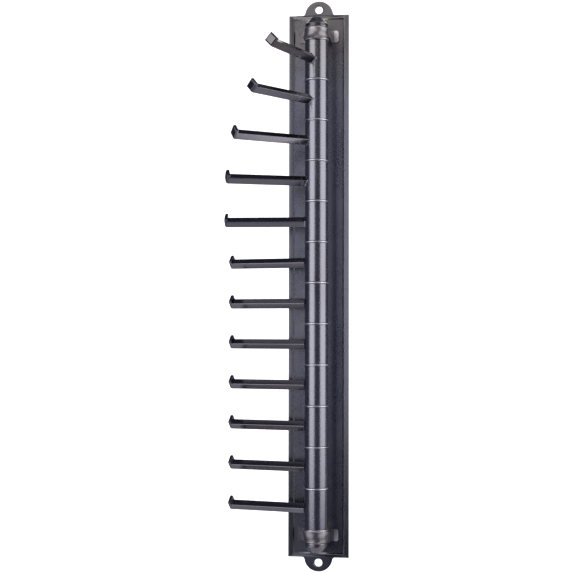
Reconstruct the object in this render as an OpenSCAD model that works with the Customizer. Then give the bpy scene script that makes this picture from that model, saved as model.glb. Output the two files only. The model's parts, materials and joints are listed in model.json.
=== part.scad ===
// Wall rack with twelve swing arms.
// Twelve tube sleeves turn on one upright rod, which two cast brackets hold in front of a long backplate.
// The wall is the plane Y = 0 and the rack stands out along -Y. X = 0 is the rod's plane, Z is up.

/* [Backplate] */
// Width of the backplate
plate_w = 50; // [48:0.5:60]
// Length of backplate beyond the last sleeve, at each end
plate_end = 25.9; // [25:0.1:32]
// Thickness at the backplate's outer edge, and of the ears
edge_t = 2.6; // [2.4:0.1:3.2]
// Thickness of the recessed panel
panel_t = 2.8; // [2.7:0.1:3.4]
// Thickness at the crest of the rim
crest_t = 4.6; // [4.4:0.1:6]
// Width of the outer bevel along the long sides
bevel_side = 3.6; // [2.5:0.1:5]
// Width of the outer bevel along the short ends
bevel_end = 2.6; // [2:0.1:3.5]
// Radius of the ears that take the wall screws
ear_r = 11.7; // [10:0.1:14]
// Radius of the small fillets beside the ears
ear_fillet = 2.2; // [1:0.1:3]
// Diameter of the wall screw holes
hole_d = 6.4; // [5:0.1:7]
// Distance of the screw holes beyond the plate's straight ends
hole_out = 4.6; // [4:0.1:5.5]

/* [Column] */
// Distance from the wall to the rod's axis
standoff = 22; // [21:0.5:30]
// Outer diameter of the sleeves
sleeve_od = 19; // [18:0.5:20]
// Wall thickness of the sleeves
sleeve_wall = 1.5; // [1.2:0.1:2]
// Distance from one arm to the next
pitch = 33.1; // [30:0.1:40]
// Outer diameter of the washers between the sleeves
washer_od = 20.2; // [19.6:0.1:20.4]
// Thickness of the washers
washer_t = 1.2; // [0.8:0.1:1.4]
// Diameter of the pivot rod
rod_d = 8; // [7:0.5:8]
// Length of each of the two bushes in a sleeve
bush_len = 8; // [5:0.5:10]

/* [Arms] */
// Side of the square bar
bar_side = 5.9; // [4.5:0.1:6]
// Distance from the rod's axis to the middle of the stop plate
reach = 73.6; // [65:0.1:80]
// Side of the square stop plate
stop_side = 8.2; // [7:0.1:9]
// Thickness of the stop plate
stop_t = 3; // [2.4:0.1:4]
// Height of the stop plate's middle above the middle of the bar
stop_lift = 1.7; // [1:0.1:2.5]
// Largest swing to either side of straight forward, where the tip meets the wall
swing_limit = 102; // [90:1:102]

/* [Brackets] */
// Radius of the saddle at its upper edge
saddle_r = 9.9; // [9.8:0.1:10.2]
// Radius of the hollow curve that flares out to the lip
flare_r = 12; // [11:0.5:16]
// Height of the saddle from the seat for the washer
saddle_h = 9.4; // [9:0.1:11]
// Half of the distance across the two feet
foot_reach = 16.5; // [15.5:0.1:18]
// Thickness of the feet
foot_t = 1.5; // [1.2:0.1:2]
// Radius of the domed nut
nut_r = 9.3; // [9:0.1:9.4]
// Height of the domed nut
nut_h = 8.3; // [7.9:0.1:9]

/* [Hidden] */
arm_count = 12;
end_clear = 0.1;
run_clear = 0.05;
fit_clear = 0.02;
over = 1;
$fn = 72;

stack_h = arm_count * pitch;
plate_h = stack_h + 2 * plate_end;
hole_z = plate_h / 2 + hole_out;
sleeve_r = sleeve_od / 2;
sleeve_len = pitch - washer_t - 2 * end_clear;
bore_r = sleeve_r - sleeve_wall;
rod_r = rod_d / 2;
seat_z = stack_h / 2 + washer_t / 2 + end_clear;
saddle_z = seat_z + saddle_h;
lip_z = stack_h / 2 - 0.6;
lip_side_z = lip_z + 2.9;
foot_top_z = saddle_z + 2;
flare_z = saddle_z - 2.7;
nut_z = saddle_z + nut_h;
rod_end = saddle_z + 5;
saddle_edge = 1.4;
foot_land = 3.6;
foot_tilt = 10;
nut_top_r = 4.6;
crest_land = 0.5;
step_w = 1;
spigot_r = 2;
screw_x = 5.6;
screw_z = seat_z + 5.8;
screw_r = 2;
screw_head_r = 3.9;
screw_tip = panel_t + 11;

// Where the arms stand: five are fanned out and the others are swung right back.
fanned = [22, 36.5, 55.5, 69.5, 87.5];
rest_angle = [for (i = [0 : arm_count - 1]) i < len(fanned) ? fanned[i] : swing_limit];

plate_color = [0.20, 0.19, 0.19];
column_color = [0.24, 0.23, 0.24];
arm_color = [0.15, 0.14, 0.15];
bracket_color = [0.42, 0.39, 0.38];
steel_color = [0.68, 0.68, 0.66];
nylon_color = [0.86, 0.84, 0.78];

// Height of the middle of a sleeve, counted from the top.
function arm_z(number) = stack_h / 2 - (number - 0.5) * pitch;

function unit(v) = v / norm(v);

// Polygon with rounded convex corners. Each corner has its own radius, and 0 leaves it sharp.
module soft_polygon(points, radii) {
    n = len(points);
    toward_last = [for (i = [0 : n - 1]) unit(points[(i + n - 1) % n] - points[i])];
    toward_next = [for (i = [0 : n - 1]) unit(points[(i + 1) % n] - points[i])];
    half_angle = [for (i = [0 : n - 1]) acos(toward_last[i] * toward_next[i]) / 2];
    cut = [for (i = [0 : n - 1]) radii[i] / tan(half_angle[i])];
    polygon([
        for (i = [0 : n - 1])
            for (direction = radii[i] > 0 ? [toward_last[i], toward_next[i]] : [[0, 0]])
                points[i] + direction * cut[i]
    ]);
    for (i = [0 : n - 1])
        if (radii[i] > 0)
            translate(points[i] + unit(toward_last[i] + toward_next[i]) * radii[i] / sin(half_angle[i]))
                circle(r = radii[i]);
}

// Lays a flat shape drawn in X and Z so that it is extruded from the wall plane towards -Y.
module off_wall(from, to) {
    translate([0, -from, 0])
        rotate([90, 0, 0])
            linear_extrude(height = to - from)
                children();
}

// Extrudes a shape drawn in Y and Z along X, centred on X = 0.
module across(width) {
    rotate([90, 0, 90])
        linear_extrude(height = width, center = true)
            children();
}

// Puts a part on the rod's axis.
module on_axis(z) {
    translate([0, -standoff, z])
        children();
}

// Puts a part on the rod's axis at an arm's height, turned to where that arm stands.
module at_arm(number) {
    on_axis(arm_z(number))
        rotate([0, 0, -rest_angle[number - 1]])
            children();
}

module both_ends() {
    children();
    mirror([0, 0, 1])
        children();
}

module both_sides() {
    children();
    mirror([1, 0, 0])
        children();
}

// ---- Backplate ----

// Section of the solid plate, from edge to edge, for a given half width and bevel.
module slab_section(half, bevel) {
    polygon([
        [-half, 0],
        [half, 0],
        [half, -edge_t],
        [half - bevel, -crest_t],
        [-half + bevel, -crest_t],
        [-half, -edge_t],
    ]);
}

// Section of what the recess takes away, wider at the crest than at the panel.
module recess_section(half) {
    rise = crest_t - panel_t;
    slope = step_w / rise;
    polygon([
        [-half + step_w, -panel_t],
        [half - step_w, -panel_t],
        [half + slope * over, -crest_t - over],
        [-half - slope * over, -crest_t - over],
    ]);
}

module bevelled_slab() {
    intersection() {
        linear_extrude(height = plate_h, center = true)
            slab_section(plate_w / 2, bevel_side);
        rotate([0, 90, 0])
            linear_extrude(height = plate_w, center = true)
                slab_section(plate_h / 2, bevel_end);
    }
}

module panel_recess() {
    half_x = plate_w / 2 - bevel_side - crest_land;
    half_z = plate_h / 2 - bevel_end - crest_land;
    intersection() {
        linear_extrude(height = plate_h, center = true)
            recess_section(half_x);
        rotate([0, 90, 0])
            linear_extrude(height = plate_w, center = true)
                recess_section(half_z);
    }
}

// Half-round ear, centred on the plate's straight end, with its two small fillets. The fillets are cut a hair
// larger than tangent, so that each curve crosses its neighbour instead of only touching it.
module ear_shape() {
    fillet_x = sqrt(pow(ear_r + ear_fillet, 2) - pow(ear_fillet, 2));
    circle(r = ear_r);
    both_sides()
        difference() {
            polygon([[0, -over], [fillet_x, -over], [fillet_x, ear_fillet], [0, 0]]);
            translate([fillet_x, ear_fillet])
                circle(r = ear_fillet + 0.05);
        }
}

module wall_hole() {
    off_wall(-over, edge_t + over)
        translate([0, hole_z])
            circle(d = hole_d);
    translate([0, -edge_t - 0.01, hole_z])
        rotate([-90, 0, 0])
            cylinder(r1 = hole_d / 2 + 0.8, r2 = hole_d / 2, h = 0.8);
}

// Countersunk hole from the back for a bracket screw.
module bracket_screw_hole() {
    translate([screw_x, over, screw_z])
        rotate([90, 0, 0])
            cylinder(r = screw_r + 0.2, h = panel_t + 2 * over);
    translate([screw_x, 0.01, screw_z])
        rotate([90, 0, 0])
            cylinder(r1 = screw_head_r + 0.3, r2 = screw_r + 0.2, h = 2.2);
}

module backplate() {
    color(plate_color)
        difference() {
            union() {
                bevelled_slab();
                both_ends()
                    translate([0, 0, plate_h / 2])
                        off_wall(0, edge_t)
                            ear_shape();
            }
            panel_recess();
            both_ends() {
                wall_hole();
                both_sides()
                    bracket_screw_hole();
            }
        }
}

// ---- Brackets ----

// Half of the saddle's section: rounded and straight above, curving outwards to the lip below.
module saddle_section() {
    difference() {
        translate([0, lip_z])
            square([saddle_r + 3.2, saddle_z - lip_z]);
        translate([saddle_r + flare_r, flare_z])
            circle(r = flare_r);
        translate([saddle_r, flare_z])
            square([flare_r, saddle_z - flare_z + over]);
        polygon([
            [saddle_r - saddle_edge, saddle_z],
            [saddle_r - saddle_edge, saddle_z + over],
            [saddle_r + over, saddle_z + over],
            [saddle_r + over, saddle_z - saddle_edge],
            [saddle_r, saddle_z - saddle_edge],
        ]);
    }
    translate([saddle_r - saddle_edge, saddle_z - saddle_edge])
        circle(r = saddle_edge);
}

// The flared saddle: half round at the front, straight sides back to the panel.
module flared_saddle() {
    on_axis(0)
        rotate([0, 0, 180])
            rotate_extrude(angle = 180)
                saddle_section();
    off_wall(panel_t, standoff)
        both_sides()
            saddle_section();
}

// What the sloping lower edge of the lip takes away.
module below_lip() {
    front = standoff + saddle_r + 6;
    slope = (lip_side_z - lip_z) / (saddle_r + 2.6);
    across(60)
        polygon([
            [over, lip_z - 5],
            [over, lip_side_z],
            [-standoff, lip_side_z],
            [-front, lip_side_z - slope * (front - standoff)],
            [-front, lip_z - 5],
        ]);
}

// Plan of one wing: flat beside the saddle, then a foot that is dished a little inwards.
module wing_plan() {
    knee = [foot_reach - foot_land, -panel_t - foot_t];
    polygon([
        [6, -panel_t],
        [foot_reach, -panel_t],
        [foot_reach, knee[1] - foot_land * tan(foot_tilt)],
        knee,
        [6, knee[1]],
    ]);
}

// Front outline of the two feet, with rounded outer corners.
module feet_outline() {
    corner = 1.8;
    height = foot_top_z - lip_side_z;
    translate([-foot_reach + corner, lip_side_z])
        square([2 * (foot_reach - corner), height]);
    translate([-foot_reach, lip_side_z + corner])
        square([2 * foot_reach, height - 2 * corner]);
    both_sides()
        for (z = [lip_side_z + corner, foot_top_z - corner])
            translate([foot_reach - corner, z])
                circle(r = corner);
}

module wings() {
    intersection() {
        translate([0, 0, lip_side_z - over])
            linear_extrude(height = foot_top_z - lip_side_z + 2 * over)
                both_sides()
                    wing_plan();
        off_wall(panel_t - over, panel_t + 14)
            feet_outline();
    }
}

module bracket() {
    difference() {
        union() {
            difference() {
                flared_saddle();
                below_lip();
            }
            wings();
            on_axis(seat_z)
                cylinder(r = sleeve_r, h = 6);
            off_wall(panel_t, standoff - nut_r - 1)
                translate([-saddle_r, lip_side_z])
                    square([2 * saddle_r, foot_top_z - lip_side_z]);
        }
        on_axis(lip_z - over)
            cylinder(r = washer_od / 2 + 0.4, h = seat_z - lip_z + over);
        on_axis(lip_z - over)
            cylinder(r = rod_r + run_clear, h = 30);
        both_sides()
            translate([screw_x, over, screw_z])
                rotate([90, 0, 0])
                    cylinder(r = screw_r + fit_clear, h = screw_tip + over + 0.6);
    }
}

// Blind nut with sloping shoulders that closes the end of the column.
module domed_nut() {
    base_h = nut_h - (nut_r - nut_top_r) * 1.15;
    outline = [[0, 0], [nut_r, 0], [nut_r, base_h], [nut_top_r, nut_h], [0, nut_h]];
    on_axis(0)
        difference() {
            translate([0, 0, saddle_z])
                rotate_extrude()
                    soft_polygon(outline, [0, 0.6, 1, 1, 0]);
            translate([0, 0, saddle_z - over])
                cylinder(r = rod_r + fit_clear, h = rod_end - saddle_z + over + 0.4);
        }
}

// Countersunk screw with a hexagonal socket, driven from the back of the plate.
module bracket_screw() {
    head_h = 1.9;
    translate([screw_x, -0.25, screw_z])
        rotate([90, 0, 0])
            difference() {
                union() {
                    cylinder(r1 = screw_head_r, r2 = screw_r, h = head_h);
                    cylinder(r = screw_r, h = screw_tip - 0.25);
                }
                translate([0, 0, -over])
                    cylinder(r = 1.4, h = over + 1.2, $fn = 6);
            }
}

module top_bracket() {
    color(bracket_color)
        bracket();
}

module bottom_bracket() {
    color(bracket_color)
        mirror([0, 0, 1])
            bracket();
}

module top_domed_nut() {
    color(plate_color)
        domed_nut();
}

module bottom_domed_nut() {
    color(plate_color)
        mirror([0, 0, 1])
            domed_nut();
}

module top_bracket_screws() {
    color(steel_color)
        both_sides()
            bracket_screw();
}

module bottom_bracket_screws() {
    color(steel_color)
        mirror([0, 0, 1])
            both_sides()
                bracket_screw();
}

// ---- Column ----

module pivot_rod() {
    chamfer = 0.8;
    color(steel_color)
        on_axis(0) {
            cylinder(r = rod_r, h = 2 * (rod_end - chamfer), center = true);
            both_ends()
                translate([0, 0, rod_end - chamfer])
                    cylinder(r1 = rod_r, r2 = rod_r - chamfer, h = chamfer);
        }
}

// Flat washer with softened outer edges, centred on z.
module washer(z) {
    edge = 0.25;
    r = washer_od / 2;
    on_axis(z)
        rotate_extrude()
            polygon([
                [rod_r + 0.1, -washer_t / 2],
                [r - edge, -washer_t / 2],
                [r, -washer_t / 2 + edge],
                [r, washer_t / 2 - edge],
                [r - edge, washer_t / 2],
                [rod_r + 0.1, washer_t / 2],
            ]);
}

module spacer_washers() {
    color(steel_color)
        for (i = [1 : arm_count - 1])
            washer(stack_h / 2 - i * pitch);
}

module end_washers() {
    color(steel_color)
        both_ends()
            washer(stack_h / 2);
}

// Tube with softened ends and a hole for the arm's spigot.
module sleeve(number) {
    edge = 0.3;
    half = sleeve_len / 2;
    color(column_color)
        at_arm(number)
            difference() {
                rotate_extrude()
                    polygon([
                        [bore_r, -half],
                        [sleeve_r - edge, -half],
                        [sleeve_r, -half + edge],
                        [sleeve_r, half - edge],
                        [sleeve_r - edge, half],
                        [bore_r, half],
                    ]);
                rotate([90, 0, 0])
                    cylinder(r = spigot_r + fit_clear, h = sleeve_r + over);
            }
}

// The two plain bushes pressed into the ends of a sleeve.
module bushes(number) {
    color(nylon_color)
        on_axis(arm_z(number))
            both_ends()
                translate([0, 0, sleeve_len / 2 - bush_len])
                    difference() {
                        cylinder(r = bore_r - fit_clear, h = bush_len);
                        translate([0, 0, -over])
                            cylinder(r = rod_r + run_clear, h = bush_len + 2 * over);
                    }
}

// ---- Arms ----

// Section of the stop plate: square at the back, bevelled towards its outer face.
module stop_section() {
    half = stop_side / 2;
    bevel = 1.1;
    polygon([
        [-half, 0],
        [half, 0],
        [half, -stop_t + 0.8],
        [half - bevel, -stop_t],
        [-half + bevel, -stop_t],
        [-half, -stop_t + 0.8],
    ]);
}

// Square plate standing on one corner, its bevelled face away from the rod.
module stop_plate() {
    translate([0, -reach + stop_t / 2, stop_lift])
        rotate([0, 45, 0])
            intersection() {
                linear_extrude(height = stop_side, center = true)
                    stop_section();
                rotate([0, 90, 0])
                    linear_extrude(height = stop_side, center = true)
                        stop_section();
            }
}

// Square bar standing on one edge, cut to sit on the sleeve.
module bar() {
    start = sleeve_r - 3;
    length = reach - stop_t / 2 + 0.5 - start;
    difference() {
        translate([0, -start - length / 2, 0])
            rotate([0, 45, 0])
                cube([bar_side, length, bar_side], center = true);
        cylinder(r = sleeve_r + fit_clear, h = 20, center = true);
    }
}

// Round spigot through the sleeve's wall, spread to a head inside it.
module spigot() {
    head = 7.4;
    rotate([90, 0, 0])
        translate([0, 0, head - 1])
            cylinder(r = spigot_r + 0.9, h = 1);
    rotate([90, 0, 0])
        translate([0, 0, head - 0.5])
            cylinder(r = spigot_r, h = sleeve_r + 2.5 - head);
}

module arm(number) {
    color(arm_color)
        at_arm(number) {
            bar();
            stop_plate();
            spigot();
        }
}

backplate();
top_bracket();
bottom_bracket();
pivot_rod();
top_domed_nut();
bottom_domed_nut();
top_bracket_screws();
bottom_bracket_screws();
spacer_washers();
end_washers();
sleeve(1);  // sleeve_1
sleeve(2);  // sleeve_2
sleeve(3);  // sleeve_3
sleeve(4);  // sleeve_4
sleeve(5);  // sleeve_5
sleeve(6);  // sleeve_6
sleeve(7);  // sleeve_7
sleeve(8);  // sleeve_8
sleeve(9);  // sleeve_9
sleeve(10);  // sleeve_10
sleeve(11);  // sleeve_11
sleeve(12);  // sleeve_12
arm(1);  // arm_1
arm(2);  // arm_2
arm(3);  // arm_3
arm(4);  // arm_4
arm(5);  // arm_5
arm(6);  // arm_6
arm(7);  // arm_7
arm(8);  // arm_8
arm(9);  // arm_9
arm(10);  // arm_10
arm(11);  // arm_11
arm(12);  // arm_12
bushes(1);  // bushes_1
bushes(2);  // bushes_2
bushes(3);  // bushes_3
bushes(4);  // bushes_4
bushes(5);  // bushes_5
bushes(6);  // bushes_6
bushes(7);  // bushes_7
bushes(8);  // bushes_8
bushes(9);  // bushes_9
bushes(10);  // bushes_10
bushes(11);  // bushes_11
bushes(12);  // bushes_12
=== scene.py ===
"""Looks for the swing-arm rack: meshes, materials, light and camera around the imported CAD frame."""

import json
import math

import bmesh
import bpy
from mathutils import Matrix, Vector


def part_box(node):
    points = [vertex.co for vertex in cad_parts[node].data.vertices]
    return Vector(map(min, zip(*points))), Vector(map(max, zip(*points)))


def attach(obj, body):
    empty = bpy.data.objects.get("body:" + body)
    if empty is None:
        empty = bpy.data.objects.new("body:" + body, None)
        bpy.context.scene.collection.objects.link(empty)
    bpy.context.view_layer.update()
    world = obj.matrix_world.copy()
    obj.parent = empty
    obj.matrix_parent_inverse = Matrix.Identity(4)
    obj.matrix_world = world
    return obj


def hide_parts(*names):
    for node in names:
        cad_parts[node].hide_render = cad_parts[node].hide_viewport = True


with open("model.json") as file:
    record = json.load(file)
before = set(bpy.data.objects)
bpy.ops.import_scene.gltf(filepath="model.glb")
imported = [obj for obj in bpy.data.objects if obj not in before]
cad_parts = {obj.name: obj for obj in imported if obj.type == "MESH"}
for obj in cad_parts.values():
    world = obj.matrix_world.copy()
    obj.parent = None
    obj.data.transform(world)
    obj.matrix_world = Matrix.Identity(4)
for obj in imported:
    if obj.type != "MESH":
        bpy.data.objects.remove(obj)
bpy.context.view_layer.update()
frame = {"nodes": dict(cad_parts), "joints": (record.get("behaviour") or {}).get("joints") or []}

MM = 0.001
JOINTS = {joint["name"]: joint for joint in frame["joints"]}
ARM_COUNT = 12

# Sizes read from the frame, in metres.
sleeve_low, sleeve_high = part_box("sleeve_1")
axis_y = (sleeve_low[1] + sleeve_high[1]) / 2
sleeve_r = (sleeve_high[0] - sleeve_low[0]) / 2
washer_low, washer_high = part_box("end_washers")
washer_r = (washer_high[0] - washer_low[0]) / 2
plate_low, plate_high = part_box("backplate")


# ---------------------------------------------------------------- camera

CAMERA_PLACE = (0.0984, -0.9843, -0.0395)
CAMERA_LENS = 74.9
# Degrees: turned to the left, tipped up and rolled.
CAMERA_TURN = 7.27
CAMERA_RISE = 2.17
CAMERA_ROLL = 0.13


def make_camera():
    data = bpy.data.cameras.new("camera")
    data.sensor_width = 36
    data.lens = CAMERA_LENS
    data.clip_start = 0.01
    data.clip_end = 50
    camera = bpy.data.objects.new("camera", data)
    bpy.context.scene.collection.objects.link(camera)
    camera.location = CAMERA_PLACE
    turn = math.radians(CAMERA_TURN)
    rise = math.radians(CAMERA_RISE)
    look = Vector((-math.sin(turn) * math.cos(rise), math.cos(turn) * math.cos(rise), math.sin(rise)))
    camera.rotation_mode = "QUATERNION"
    roll = Matrix.Rotation(math.radians(CAMERA_ROLL), 4, "Z").to_quaternion()
    camera.rotation_quaternion = look.to_track_quat("-Z", "Y") @ roll
    bpy.context.scene.camera = camera


make_camera()


# ---------------------------------------------------------------- material helpers

class Nodes:
    """Short names for building a node material."""

    def __init__(self, name):
        self.material = bpy.data.materials.new(name)
        self.material.use_nodes = True
        self.tree = self.material.node_tree
        self.tree.nodes.clear()
        self.out = self.add("ShaderNodeOutputMaterial")
        self.shader = self.add("ShaderNodeBsdfPrincipled")
        self.link(self.shader.outputs[0], self.out.inputs["Surface"])
        self.coords = self.add("ShaderNodeTexCoord").outputs["Object"]

    def add(self, kind, **values):
        node = self.tree.nodes.new(kind)
        for key, value in values.items():
            if hasattr(node, key):
                setattr(node, key, value)
            else:
                node.inputs[key.replace("_", " ")].default_value = value
        return node

    def link(self, a, b):
        self.tree.links.new(a, b)

    def place(self, scale=(1, 1, 1)):
        node = self.add("ShaderNodeMapping")
        node.inputs["Scale"].default_value = scale
        self.link(self.coords, node.inputs["Vector"])
        return node.outputs[0]

    def noise(self, scale, detail=4, rough=0.55, vector=None):
        node = self.add("ShaderNodeTexNoise")
        node.inputs["Scale"].default_value = scale
        node.inputs["Detail"].default_value = detail
        node.inputs["Roughness"].default_value = rough
        self.link(vector or self.coords, node.inputs["Vector"])
        return node.outputs[0]

    def span(self, value, low, high, to_low=0.0, to_high=1.0):
        node = self.add("ShaderNodeMapRange")
        node.inputs["From Min"].default_value = low
        node.inputs["From Max"].default_value = high
        node.inputs["To Min"].default_value = to_low
        node.inputs["To Max"].default_value = to_high
        self.link(value, node.inputs["Value"])
        return node.outputs[0]

    def maths(self, operation, a, b):
        node = self.add("ShaderNodeMath", operation=operation)
        for socket, value in zip(node.inputs, (a, b)):
            if isinstance(value, (int, float)):
                socket.default_value = value
            else:
                self.link(value, socket)
        return node.outputs[0]

    def mix(self, factor, a, b):
        node = self.add("ShaderNodeMix", data_type="RGBA")
        if isinstance(factor, (int, float)):
            node.inputs[0].default_value = factor
        else:
            self.link(factor, node.inputs[0])
        for socket, value in ((node.inputs[6], a), (node.inputs[7], b)):
            if isinstance(value, tuple):
                socket.default_value = (*value, 1)
            else:
                self.link(value, socket)
        return node.outputs[2]

    def height(self):
        node = self.add("ShaderNodeSeparateXYZ")
        self.link(self.coords, node.inputs[0])
        return node.outputs[2]

    def tint(self, colour, amount, factor):
        """Multiplies a colour by a tint, as far as the amount says."""
        node = self.add("ShaderNodeMix", data_type="RGBA", blend_type="MULTIPLY")
        self.link(amount, node.inputs[0])
        self.link(colour, node.inputs[6])
        node.inputs[7].default_value = (*factor, 1)
        return node.outputs[2]

    def bump(self, height, strength, distance):
        node = self.add("ShaderNodeBump")
        node.inputs["Strength"].default_value = strength
        node.inputs["Distance"].default_value = distance
        self.link(height, node.inputs["Height"])
        self.link(node.outputs[0], self.shader.inputs["Normal"])


COPPER = (0.20, 0.125, 0.105)
BARE_COPPER = (0.36, 0.285, 0.265)
# Tint of a place with painted shade, and tone of a place with a painted highlight.
PAINTED_SHADE_TINT = (0.30, 0.30, 0.31)
PAINTED_HIGHLIGHT_TONE = (0.82, 0.79, 0.77)
# Heights, in metres, where the painted light (a warm tint) of the upper end and the painted shade (a dark tint) of
# the lower end begin and are full.
PAINTED_LIGHT_TOP = (0.160, 0.205)
PAINTED_SHADE_FOOT = (-0.060, -0.215)


def plating(name, dark, light, copper, rough, wear=0.6, grain=1.0, brushed=None, top=(1, 1, 1), foot=(1, 1, 1)):
    """Dark plated metal: cloudy tone, fine grain, and a copper undercoat that shows where edges are rubbed.

    Painted light makes the upper end a little warmer and painted shade makes the lower end a little darker: top
    and foot are those tints.
    """
    m = Nodes(name)
    m.shader.inputs["Metallic"].default_value = 1.0
    cloud = m.span(m.noise(38, 5, 0.6), 0.35, 0.68)
    speck = m.span(m.noise(900, 3, 0.6), 0.42, 0.62)
    tone = m.mix(cloud, dark, light)
    smudge = m.span(m.noise(14, 4, 0.6), 0.56, 0.76, 0, 0.3)
    tone = m.mix(smudge, tone, copper)
    edge = m.add("ShaderNodeAttribute", attribute_name="edge").outputs["Fac"]
    broken = m.span(m.noise(240, 4, 0.7), 0.38, 0.6)
    rubbed = m.maths("MULTIPLY", m.maths("MULTIPLY", edge, broken), wear)
    tone = m.mix(rubbed, tone, copper)
    height_up = m.height()
    # Painted light warms the upper end and painted shade darkens the lower end.
    tone = m.tint(tone, m.span(height_up, *PAINTED_LIGHT_TOP), top)
    tone = m.tint(tone, m.span(height_up, *PAINTED_SHADE_FOOT), foot)
    # Painted shade and painted highlight, wherever the pieces paint them on.
    tone = m.tint(tone, m.add("ShaderNodeAttribute", attribute_name="painted_shade").outputs["Fac"], PAINTED_SHADE_TINT)
    tone = m.mix(m.add("ShaderNodeAttribute", attribute_name="painted_highlight").outputs["Fac"], tone, PAINTED_HIGHLIGHT_TONE)
    m.link(tone, m.shader.inputs["Base Color"])
    fine = m.maths("MULTIPLY", speck, 0.03)
    roughness = m.maths("ADD", m.span(cloud, 0, 1, rough, rough + 0.05), fine)
    m.link(roughness, m.shader.inputs["Roughness"])
    height = speck
    if brushed:
        stroke = m.noise(1, 3, 0.6, m.place(brushed))
        height = m.maths("ADD", stroke, m.maths("MULTIPLY", speck, 0.4))
    m.bump(height, 0.12 * grain, 0.0001)
    return m.material


def bare_steel(name, colour, rough, brushed=(300, 300, 300)):
    m = Nodes(name)
    m.shader.inputs["Metallic"].default_value = 1.0
    cloud = m.span(m.noise(120, 4, 0.6), 0.35, 0.65)
    shade = tuple(c * 0.72 for c in colour)
    m.link(m.mix(cloud, shade, colour), m.shader.inputs["Base Color"])
    m.link(m.span(cloud, 0, 1, rough, rough + 0.1), m.shader.inputs["Roughness"])
    m.bump(m.noise(1, 3, 0.6, m.place(brushed)), 0.15, 0.0001)
    return m.material


def nylon(name):
    m = Nodes(name)
    m.shader.inputs["Metallic"].default_value = 0.0
    cloud = m.noise(200, 3, 0.5)
    m.link(m.mix(cloud, (0.62, 0.60, 0.52), (0.74, 0.72, 0.65)), m.shader.inputs["Base Color"])
    m.link(m.span(cloud, 0.3, 0.7, 0.42, 0.55), m.shader.inputs["Roughness"])
    m.bump(m.noise(1500, 2, 0.5), 0.1, 0.00005)
    return m.material


# The top and foot tints of each plating are painted light at the upper end and painted shade at the lower end.
plate_metal = plating("plate_plating", (0.190, 0.193, 0.232), (0.235, 0.238, 0.280), BARE_COPPER, 0.25, wear=0.65,
                      grain=0.22, top=(1.0, 0.94, 0.78), foot=(0.66, 0.67, 0.64))
bracket_metal = plating("bracket_plating", (0.34, 0.32, 0.322), (0.40, 0.377, 0.375), COPPER, 0.30, wear=0.4)
nut_metal = plating("nut_plating", (0.27, 0.26, 0.265), (0.32, 0.305, 0.305), COPPER, 0.24, wear=0.5)
sleeve_metal = plating("sleeve_plating", (0.262, 0.262, 0.29), (0.292, 0.292, 0.322), COPPER, 0.22, wear=0.35,
                       grain=0.2, brushed=(700, 700, 30), top=(1.0, 0.95, 0.82), foot=(0.94, 0.92, 0.92))
arm_metal = plating("arm_plating", (0.245, 0.238, 0.262), (0.285, 0.277, 0.30), COPPER, 0.13, wear=0.15,
                    grain=0.5, top=(1.1, 0.98, 0.86), foot=(0.92, 0.92, 0.9))
washer_metal = bare_steel("washer_metal", (0.92, 0.92, 0.94), 0.26, (60, 60, 1500))
rod_metal = bare_steel("rod_metal", (0.62, 0.62, 0.62), 0.25, (40, 40, 2500))
screw_metal = bare_steel("screw_metal", (0.66, 0.66, 0.64), 0.3)
bush_nylon = nylon("bush_nylon")


# ---------------------------------------------------------------- mesh helpers

def finish_piece(name, bm, material, body, replaces=None, sharp=38.0):
    """Turns a bmesh into a shown piece that rides on a body."""
    mesh = bpy.data.meshes.new(name)
    bm.to_mesh(mesh)
    bm.free()
    mesh.materials.append(material)
    mesh.shade_smooth()
    mesh.set_sharp_from_angle(angle=math.radians(sharp))
    piece = bpy.data.objects.new(name, mesh)
    bpy.context.scene.collection.objects.link(piece)
    keep = piece.modifiers.new("weighted_normals", "WEIGHTED_NORMAL")
    keep.keep_sharp = True
    keep.weight = 60
    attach(piece, body)
    if replaces:
        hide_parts(*replaces)


def arc(centre, radius, start, end, steps):
    """Points on a circle in a profile plane, angles in degrees."""
    points = []
    for k in range(steps + 1):
        a = math.radians(start + (end - start) * k / steps)
        points.append((centre[0] + radius * math.cos(a), centre[1] + radius * math.sin(a)))
    return points


def lathe(bm, profile, centre, steps=96, closed=True):
    """Turns a profile of (radius, height) points about a vertical axis."""
    rings = []
    for r, z in profile:
        if r < 1e-7:
            rings.append([bm.verts.new((centre[0], centre[1], z))])
        else:
            ring = []
            for k in range(steps):
                a = 2 * math.pi * k / steps
                ring.append(bm.verts.new((centre[0] + r * math.cos(a), centre[1] + r * math.sin(a), z)))
            rings.append(ring)
    pairs = list(zip(rings, rings[1:]))
    if closed:
        pairs.append((rings[-1], rings[0]))
    faces = []
    for low, high in pairs:
        for k in range(steps):
            n = (k + 1) % steps
            if len(low) == 1 and len(high) == 1:
                continue
            if len(low) == 1:
                faces.append(bm.faces.new((low[0], high[n], high[k])))
            elif len(high) == 1:
                faces.append(bm.faces.new((low[k], low[n], high[0])))
            else:
                faces.append(bm.faces.new((low[k], low[n], high[n], high[k])))
    return faces


def rounded_profile(outline, radii, steps=6):
    """Open outline with rounded corners, for a lathe."""
    points = []
    count = len(outline)
    for k in range(count):
        here = Vector(outline[k])
        if radii[k] <= 0 or k in (0, count - 1):
            points.append(tuple(here))
            continue
        back = (Vector(outline[k - 1]) - here).normalized()
        ahead = (Vector(outline[k + 1]) - here).normalized()
        half = math.acos(max(-1.0, min(1.0, back.dot(ahead)))) / 2
        cut = radii[k] / math.tan(half)
        centre = here + (back + ahead).normalized() * (radii[k] / math.sin(half))
        start = here + back * cut - centre
        stop = here + ahead * cut - centre
        for j in range(steps + 1):
            mixed = start.lerp(stop, j / steps).normalized() * radii[k]
            points.append(tuple(centre + mixed))
    return points


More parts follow.
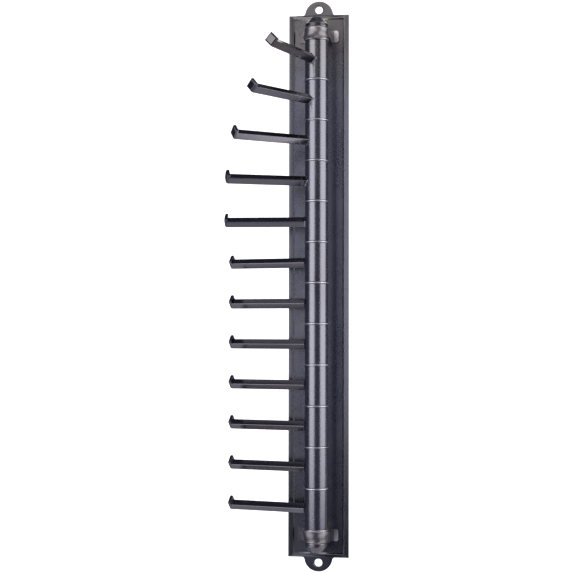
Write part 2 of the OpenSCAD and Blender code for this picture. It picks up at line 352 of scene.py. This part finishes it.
def diamond_ring(half, corner, steps=5):
    """Points (side, up) of a square that stands on one of its rounded corners."""
    points = []
    for quarter in range(4):
        turn = math.radians(45 + 90 * quarter)
        cx, cy = (half - corner) * math.sqrt(2) * math.cos(turn), (half - corner) * math.sqrt(2) * math.sin(turn)
        for k in range(steps + 1):
            a = math.radians(90 * quarter + 90 * k / steps)
            points.append((cx + corner * math.cos(a), cy + corner * math.sin(a)))
    c, s = math.cos(math.radians(45)), math.sin(math.radians(45))
    return [(x * c - y * s, x * s + y * c) for x, y in points]


def skin(bm, rings):
    """Quads between rings of vertices, with a cap at each end. The two caps are the last faces."""
    faces = []
    for a, b in zip(rings, rings[1:]):
        n = len(a)
        for k in range(n):
            faces.append(bm.faces.new((a[k], a[(k + 1) % n], b[(k + 1) % n], b[k])))
    faces.append(bm.faces.new(list(reversed(rings[0]))))
    faces.append(bm.faces.new(rings[-1]))
    return faces


def paint(bm, name, faces, value):
    """Writes one of the plating's attributes on faces: the rubbed edge, the painted shade or the painted
    highlight.

    The value is a number or a function of the corner's place.
    """
    layer = bm.loops.layers.float.get(name) or bm.loops.layers.float.new(name)
    for face in faces:
        for loop in face.loops:
            loop[layer] = value(loop.vert.co) if callable(value) else value


def ramp(value, low, high):
    """0 below low, 1 above high."""
    return max(0.0, min(1.0, (value - low) / (high - low)))


def from_node(node, merge=1e-6, flat=0.6):
    """A clean bmesh of a CAD node: joined corners and whole flat faces."""
    bm = bmesh.new()
    bm.from_mesh(frame["nodes"][node].data)
    bmesh.ops.remove_doubles(bm, verts=bm.verts, dist=merge)
    bmesh.ops.dissolve_limit(bm, angle_limit=math.radians(flat), verts=bm.verts, edges=bm.edges,
                             delimit={"NORMAL"})
    return bm


def round_edges(bm, width, angle=24.0, steps=3, pick=None):
    """Rounds every edge sharper than the angle and marks the new faces as rubbed."""
    limit = math.radians(angle)
    edges = [e for e in bm.edges if len(e.link_faces) == 2 and e.calc_face_angle(0) > limit
             and (pick is None or pick(e))]
    made = bmesh.ops.bevel(bm, geom=edges, offset=width, offset_type="OFFSET", segments=steps, profile=0.5,
                           affect="EDGES", clamp_overlap=True, loop_slide=True)
    paint(bm, "edge", made["faces"], 1.0)
    return made["faces"]


# ---------------------------------------------------------------- pieces

# Widths of the rounding on the plate's crest and round its border, and the width over which the painted shade on
# the left bevel grows from its outer edge inwards.
CREST_ROUND = 0.22 * MM
BORDER_ROUND = 0.4 * MM
LEFT_FADE = 1.8 * MM


def make_backplate():
    """CAD plate with rounded crest and border. The rim's slopes, crest and border each get their own painted shade
    or painted highlight, and the rounded edges are marked as rubbed.
    """
    bm = from_node("backplate")
    rim = plate_low[1]

    def on_crest(edge):
        return all(abs(v.co.y - rim) < 0.02 * MM for v in edge.verts)

    half = plate_high[0]

    def on_side(face, outward):
        side = face.calc_center_median().x
        return abs(side) > 0.8 * half and 0.2 < face.normal.x * math.copysign(outward, side) < 0.95

    bevels = [f for f in bm.faces if on_side(f, 1)]
    steps = [f for f in bm.faces if on_side(f, -1)]
    # Painted shade on the rim's inner steps and slopes: full on the steps, less on the right slope, and on the
    # left slope growing from the outer edge inwards.
    paint(bm, "painted_shade", steps, 0.8)
    paint(bm, "painted_shade", [f for f in bevels if f.calc_center_median().x > 0], 0.6)
    paint(bm, "painted_shade", [f for f in bevels if f.calc_center_median().x < 0],
          lambda co: ramp(half + co.x, 0.0, LEFT_FADE))
    crest = round_edges(bm, CREST_ROUND, angle=12.0, pick=on_crest)
    # The right crest has no painted shade and a faint painted highlight; the left crest gets dark painted shade.
    paint(bm, "painted_shade", [f for f in crest if f.calc_center_median().x > 0.8 * half], 0.0)
    paint(bm, "painted_shade", [f for f in crest if f.calc_center_median().x < -0.8 * half], 0.9)
    paint(bm, "painted_highlight", [f for f in crest if f.calc_center_median().x > 0.8 * half], 0.2)
    border = round_edges(bm, BORDER_ROUND, angle=30.0,
                         pick=lambda e: all(v.co.y > rim + 0.5 * MM for v in e.verts))
    # The border has no painted shade; its left part gets a painted highlight.
    paint(bm, "painted_shade", border, 0.0)
    paint(bm, "painted_highlight", [f for f in border if f.calc_center_median().x < -0.9 * half], 0.3)
    finish_piece("backplate_shell", bm, plate_metal, "frame", ["backplate"], sharp=50.0)


BRACKET_ROUND = 0.35 * MM
# Bands of the bracket that carry a painted highlight: how near the lip's and the crown's height, and how far from
# the axis.
LIP_BAND = 1.3 * MM
LIP_MIN_R = 9.6 * MM
CROWN_BAND = 1.5 * MM
CROWN_MAX_R = 10.2 * MM
CROWN_FADE = (2.5 * MM, 6 * MM)
FOOT_START = 13 * MM


def make_bracket(end):
    """CAD bracket with rounded edges, with a painted highlight at the lip, at the crown and on the right foot."""
    bm = from_node(f"{end}_bracket")

    def outside(edge):
        return all(v.co.y < -2 * MM and math.hypot(v.co.x, v.co.y - axis_y) > 4.5 * MM for v in edge.verts)

    round_edges(bm, BRACKET_ROUND, angle=24.0, pick=outside)
    low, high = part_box(f"{end}_bracket")
    inner = low[2] if end == "top" else high[2]
    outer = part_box(f"{end}_domed_nut")[0 if end == "top" else 1][2]

    def from_axis(co):
        return math.hypot(co.x, co.y - axis_y)

    lip = [f for f in bm.faces if abs(f.calc_center_median().z - inner) < LIP_BAND
           and from_axis(f.calc_center_median()) > LIP_MIN_R]
    crown = [f for f in bm.faces if abs(f.calc_center_median().z - outer) < CROWN_BAND
             and from_axis(f.calc_center_median()) < CROWN_MAX_R]
    foot = [f for f in bm.faces if f.calc_center_median().x > FOOT_START and f.normal.y < -0.8]
    # Painted highlight on the lip, on the middle of the crown fading to the sides, and on the right foot only.
    paint(bm, "painted_highlight", lip, 0.45)
    paint(bm, "painted_highlight", crown, lambda co: 0.7 * (1 - ramp(abs(co.x), *CROWN_FADE)))
    paint(bm, "painted_highlight", foot, 1.0)
    finish_piece(f"{end}_bracket_shell", bm, bracket_metal, "frame", [f"{end}_bracket"],
                 sharp=50.0)


# Radius of the nut's flat top, and height of its shoulder for each unit that the radius shrinks.
NUT_TOP_R = 4.6 * MM
NUT_SLOPE = 1.15


def make_nut(end):
    low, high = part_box(f"{end}_domed_nut")
    height = high[2] - low[2]
    radius = (high[0] - low[0]) / 2
    base = height - (radius - NUT_TOP_R) * NUT_SLOPE
    outline = [(0.0, 0.0), (radius, 0.0), (radius, base), (NUT_TOP_R, height), (0.0, height)]
    profile = rounded_profile(outline, [0.0, 0.6 * MM, 1.0 * MM, 1.0 * MM, 0.0])
    if end == "top":
        points = [(r, low[2] + z) for r, z in profile]
    else:
        points = [(r, high[2] - z) for r, z in profile]
    bm = bmesh.new()
    faces = lathe(bm, points, (0.0, axis_y), 96, closed=False)
    bmesh.ops.recalc_face_normals(bm, faces=bm.faces)
    shoulder = [f for f in faces if base * 0.8 < abs(f.calc_center_median().z - points[0][1]) < base * 1.25]
    paint(bm, "edge", faces, 0.0)
    paint(bm, "edge", shoulder, 1.0)
    wall = [f for f in faces if abs(f.normal.z) < 0.2]
    # The top nut's short wall gets painted shade and its shoulder slope a painted highlight that grows away from
    # the axis.
    if end == "top":
        paint(bm, "painted_shade", wall, 0.9)
        slope = [f for f in faces if 0.2 < abs(f.normal.z) < 0.9]
        paint(bm, "painted_highlight", slope, lambda co: ramp(abs(co.x), 4 * MM, 7 * MM))
    finish_piece(f"{end}_nut_turned", bm, nut_metal, "frame", [f"{end}_domed_nut"])


WASHER_BORE_R = 4.1 * MM
WASHER_EDGE = 0.5 * MM
# Heights closer than this belong to one washer.
WASHER_GAP = 2 * MM


def make_washers(node, name):
    """Rings of a washer node: their heights are read from the CAD mesh."""
    heights = sorted({round(v.co.z, 5) for v in frame["nodes"][node].data.vertices})
    stacks = []
    for z in heights:
        if stacks and z - stacks[-1][-1] < WASHER_GAP:
            stacks[-1].append(z)
        else:
            stacks.append([z])
    bm = bmesh.new()
    edge = WASHER_EDGE
    for stack in stacks:
        low, high = stack[0], stack[-1]
        profile = [(WASHER_BORE_R, low)] + arc((washer_r - edge, low + edge), edge, -90, 0, 4)
        profile += arc((washer_r - edge, high - edge), edge, 0, 90, 4) + [(WASHER_BORE_R, high)]
        lathe(bm, profile, (0.0, axis_y), 128)
    bmesh.ops.recalc_face_normals(bm, faces=bm.faces)
    finish_piece(name, bm, washer_metal, "frame", [node])


SLEEVE_WALL = 1.5 * MM
SLEEVE_EDGE = 0.35 * MM


def make_sleeves():
    for i in range(1, ARM_COUNT + 1):
        low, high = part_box(f"sleeve_{i}")
        r, edge = sleeve_r, SLEEVE_EDGE
        bore = r - SLEEVE_WALL
        profile = [(bore, low[2])] + arc((r - edge, low[2] + edge), edge, -90, 0, 4)
        profile += arc((r - edge, high[2] - edge), edge, 0, 90, 4) + [(bore, high[2])]
        bm = bmesh.new()
        faces = lathe(bm, profile, (0.0, axis_y), 128)
        paint(bm, "edge", faces, 0.0)
        rim = [f for f in faces if min(abs(f.calc_center_median().z - z) for z in (low[2], high[2])) < edge]
        paint(bm, "edge", rim, 1.0)
        bmesh.ops.recalc_face_normals(bm, faces=bm.faces)
        finish_piece(f"sleeve_tube_{i}", bm, sleeve_metal, f"swing_arm_{i}", [f"sleeve_{i}"])


# Sizes of the arm, as in the CAD part.
BAR_HALF = 2.95 * MM
STOP_HALF = 4.1 * MM
STOP_LIFT = 1.7 * MM
STOP_T = 3.0 * MM
REACH = 73.6 * MM
# Rounding of the corners, and how far the bar sinks into the sleeve and the stop plate.
BAR_CORNER = 0.35 * MM
STOP_CORNER = 0.45 * MM
ROOT_SINK = 0.12 * MM
TIP_SINK = 0.9 * MM


def arm_mesh():
    """Square bar on its edge with a small weld fillet at the sleeve and a bevelled stop plate, along -Y."""
    steps = 5
    per = steps + 1
    bar = bmesh.new()
    # Weld fillet: distance out from the sleeve, and growth of the bar there, in millimetres.
    swell = ((0.0, 0.75), (0.2, 0.42), (0.5, 0.16), (0.9, 0.03), (1.3, 0.0))
    rings = []
    for out, grow in swell:
        ring = []
        for side, up in diamond_ring(BAR_HALF + grow * MM, BAR_CORNER + grow * 0.5 * MM, steps):
            root = math.sqrt(max(sleeve_r ** 2 - side ** 2, 0)) - ROOT_SINK
            ring.append(bar.verts.new((side, -(root + out * MM), up)))
        rings.append(ring)
    stop_back = REACH - STOP_T / 2
    for d in (20 * MM, 36 * MM, 52 * MM, 66 * MM, stop_back + TIP_SINK):
        rings.append([bar.verts.new((side, -d, up)) for side, up in diamond_ring(BAR_HALF, BAR_CORNER, steps)])
    faces = skin(bar, rings)
    paint(bar, "edge", faces, 0.0)
    # The last face of every corner's run is a flat of the bar; the others are its rounding.
    paint(bar, "edge", [f for k, f in enumerate(faces[:-2]) if (k % (4 * per)) % per != per - 1], 1.0)
    bmesh.ops.recalc_face_normals(bar, faces=bar.faces)
    bar.normal_update()

    stop = bmesh.new()
    # Stop plate: inset of the outline, and distance from its back face, in millimetres.
    shape = ((0.30, 0.0), (0.09, 0.09), (0.0, 0.30), (0.0, 1.95), (0.09, 2.18), (0.35, 2.42), (0.85, 2.78),
             (1.08, 2.93), (1.40, 3.0))
    rings = []
    for inset, d in shape:
        ring = diamond_ring(STOP_HALF - inset * MM, STOP_CORNER, steps)
        rings.append([stop.verts.new((side, -(stop_back + d * MM), up + STOP_LIFT)) for side, up in ring])
    faces = skin(stop, rings)
    paint(stop, "edge", faces, 1.0)
    flat = [faces[-2], faces[-1]]
    # The third run of faces is the straight side of the plate.
    walls = faces[2 * 4 * per:3 * 4 * per]
    paint(stop, "edge", flat + [f for k, f in enumerate(walls) if k % per == per - 1], 0.0)
    # Painted shade on the bar's upper faces and on the stop plate, darker on its end face.
    paint(bar, "painted_shade", bar.faces, 0.0)
    paint(bar, "painted_shade", [f for f in bar.faces if f.normal.z > 0.6], 0.7)
    paint(stop, "painted_shade", stop.faces, 0.35)
    paint(stop, "painted_shade", [faces[-1]], 0.55)
    bmesh.ops.recalc_face_normals(stop, faces=stop.faces)

    meshes = []
    for name, bm in (("arm_bar_shape", bar), ("arm_stop_shape", stop)):
        mesh = bpy.data.meshes.new(name)
        bm.to_mesh(mesh)
        bm.free()
        meshes.append(mesh)
    base = bpy.data.objects.new("arm_shape", meshes[0])
    tool = bpy.data.objects.new("arm_tool", meshes[1])
    for obj in (base, tool):
        bpy.context.scene.collection.objects.link(obj)
    join = base.modifiers.new("join", "BOOLEAN")
    join.operation = "UNION"
    join.solver = "EXACT"
    join.object = tool
    graph = bpy.context.evaluated_depsgraph_get()
    whole = bpy.data.meshes.new_from_object(base.evaluated_get(graph))
    for obj in (base, tool):
        bpy.data.objects.remove(obj)
    for mesh in meshes:
        bpy.data.meshes.remove(mesh)
    return whole


def arm_height(i):
    low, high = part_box(f"sleeve_{i}")
    return (low[2] + high[2]) / 2


def make_arms():
    whole = arm_mesh()
    for i in range(1, ARM_COUNT + 1):
        back, ahead = JOINTS[f"arm_{i}_swing"]["range_deg"]
        rest = (ahead - back) / 2 + back
        bm = bmesh.new()
        bm.from_mesh(whole)
        place = Matrix.Translation((0, axis_y, arm_height(i))) @ Matrix.Rotation(math.radians(-rest), 4, "Z")
        bmesh.ops.transform(bm, matrix=place, verts=bm.verts)
        finish_piece(f"arm_bar_{i}", bm, arm_metal, f"swing_arm_{i}", [f"arm_{i}"])
    bpy.data.meshes.remove(whole)


FLOOR_DROP = 1.15
FLOOR_GLOW = 0.62
SHEET_GLOW = 1.05


def paper(name, glow):
    """Matt white that gives off a little light."""
    m = Nodes(name)
    m.shader.inputs["Base Color"].default_value = (0.85, 0.85, 0.85, 1)
    m.shader.inputs["Roughness"].default_value = 0.9
    m.shader.inputs["Specular IOR Level"].default_value = 0.0
    m.shader.inputs["Emission Color"].default_value = (1.0, 1.0, 1.0, 1)
    m.shader.inputs["Emission Strength"].default_value = glow
    return m


def stage_object(name, bm, material):
    """Turns a bmesh into an object for the stage."""
    mesh = bpy.data.meshes.new(name)
    bm.to_mesh(mesh)
    bm.free()
    mesh.materials.append(material)
    shown = bpy.data.objects.new(name, mesh)
    bpy.context.scene.collection.objects.link(shown)
    return shown


def make_stage():
    """Plain pale floor under the rack and a softly lit white sheet far behind it."""
    floor_z = plate_low[2] - FLOOR_DROP
    bm = bmesh.new()
    corners = [bm.verts.new((x, y, floor_z)) for x, y in ((-4.5, -3.5), (4.5, -3.5), (4.5, 4.5), (-4.5, 4.5))]
    bm.faces.new(corners)
    m = paper("studio_paper", FLOOR_GLOW)
    m.link(m.mix(m.noise(3, 3, 0.5), (0.80, 0.80, 0.80), (0.84, 0.84, 0.84)), m.shader.inputs["Base Color"])
    floor = stage_object("studio_floor", bm, m.material)
    floor.visible_glossy = False

    bm = bmesh.new()
    wide, low, high, y, bend = 1.35, floor_z + 0.01, 2.4, 2.7, 0.5
    path = [(y - bend + bend * math.sin(math.radians(t)), low + bend - bend * math.cos(math.radians(t)))
            for t in range(0, 91, 6)] + [(y, high)]
    left = [bm.verts.new((-wide, p, q)) for p, q in path]
    right = [bm.verts.new((wide, p, q)) for p, q in path]
    for k in range(len(path) - 1):
        bm.faces.new((left[k], right[k], right[k + 1], left[k + 1]))
    backdrop = stage_object("studio_backdrop", bm, paper("studio_sheet", SHEET_GLOW).material)
    backdrop.data.shade_smooth()


def soft_light(name, place, aim, width, height, power, colour=(1, 1, 1)):
    data = bpy.data.lights.new(name, "AREA")
    data.shape = "RECTANGLE"
    data.size = width
    data.size_y = height
    data.energy = power
    data.color = colour
    light = bpy.data.objects.new(name, data)
    bpy.context.scene.collection.objects.link(light)
    light.location = place
    light.rotation_mode = "QUATERNION"
    light.rotation_quaternion = (Vector(aim) - Vector(place)).to_track_quat("-Z", "Y")
    light.visible_camera = False


def make_light():
    """Soft boxes round the rack, at its middle and at its upper and lower ends, in dim blue surroundings.

    The dark plating shows mostly what it reflects, so each box makes one of the bright bands.
    """
    world = bpy.data.worlds.new("studio")
    bpy.context.scene.world = world
    world.use_nodes = True
    tree = world.node_tree
    tree.nodes.clear()
    out = tree.nodes.new("ShaderNodeOutputWorld")
    both = tree.nodes.new("ShaderNodeMixShader")
    seen = tree.nodes.new("ShaderNodeLightPath")
    room = tree.nodes.new("ShaderNodeBackground")
    room.inputs["Color"].default_value = (0.58, 0.62, 1.0, 1)
    room.inputs["Strength"].default_value = 0.11
    white = tree.nodes.new("ShaderNodeBackground")
    white.inputs["Color"].default_value = (1, 1, 1, 1)
    white.inputs["Strength"].default_value = 1.0
    tree.links.new(seen.outputs["Is Camera Ray"], both.inputs[0])
    tree.links.new(room.outputs[0], both.inputs[1])
    tree.links.new(white.outputs[0], both.inputs[2])
    tree.links.new(both.outputs[0], out.inputs["Surface"])

    def around(angle, distance, height):
        a = math.radians(angle)
        return (-distance * math.sin(a), -distance * math.cos(a), height)

    def toward(side, rise, distance, centre=0.2):
        a, e = math.radians(side), math.radians(rise)
        return (-distance * math.sin(a) * math.cos(e), -distance * math.cos(a) * math.cos(e),
                centre + distance * math.sin(e))

    soft_light("left_box", around(37, 1.7, 0.22), (0, 0, 0.12), 1.6, 1.35, 11.9, (0.96, 0.96, 1.0))
    soft_light("right_box", around(-76, 1.7, 0.22), (0, 0, 0.12), 2.05, 1.35, 15.2, (0.96, 0.96, 1.0))
    soft_light("left_high_box", toward(52, 40, 1.7), (0, 0, 0.2), 1.35, 0.66, 3.9, (1.0, 0.95, 0.93))
    soft_light("right_high_box", toward(-74, 48, 1.7), (0, 0, 0.2), 1.7, 1.0, 7.5, (1.0, 0.95, 0.93))
    soft_light("left_low_box", toward(62, -44, 1.5, -0.2), (0, 0, -0.2), 1.5, 1.0, 4.2, (0.97, 0.96, 1.0))
    soft_light("right_low_box", toward(-74, -44, 1.5, -0.2), (0, 0, -0.2), 1.5, 1.0, 4.2, (0.97, 0.96, 1.0))
    soft_light("front_high_box", toward(3, 25, 1.7), (0, 0, 0.2), 1.3, 0.4, 1.7, (1.0, 0.97, 0.93))
    soft_light("top_box", toward(-4, 77, 1.5), (0, 0, 0.2), 0.4, 0.5, 0.55, (1.0, 0.95, 0.93))
    soft_light("rear_low_box", (1.15, 1.35, -0.6), (0, 0, 0.15), 0.9, 0.9, 0.5, (1.0, 0.93, 0.88))
    soft_light("low_box", (0.35, 0.65, -1.3), (0.35, 0.65, 0), 2.0, 1.7, 4.2, (0.98, 0.96, 1.0))


def dress(node, material):
    """Gives a CAD node that is shown as it is its material."""
    mesh = frame["nodes"][node].data
    mesh.materials.clear()
    mesh.materials.append(material)


dress("pivot_rod", rod_metal)
for end in ("top", "bottom"):
    dress(f"{end}_bracket_screws", screw_metal)
    make_bracket(end)
    make_nut(end)
for i in range(1, ARM_COUNT + 1):
    dress(f"bushes_{i}", bush_nylon)
make_washers("spacer_washers", "spacer_washer_rings")
make_washers("end_washers", "end_washer_rings")
make_backplate()
make_sleeves()
make_arms()
make_stage()
make_light()

bpy.context.scene.view_settings.view_transform = "Standard"
bpy.context.scene.view_settings.look = "None"
bpy.context.scene.view_settings.exposure = 0.0
bpy.context.scene.view_settings.gamma = 1.0
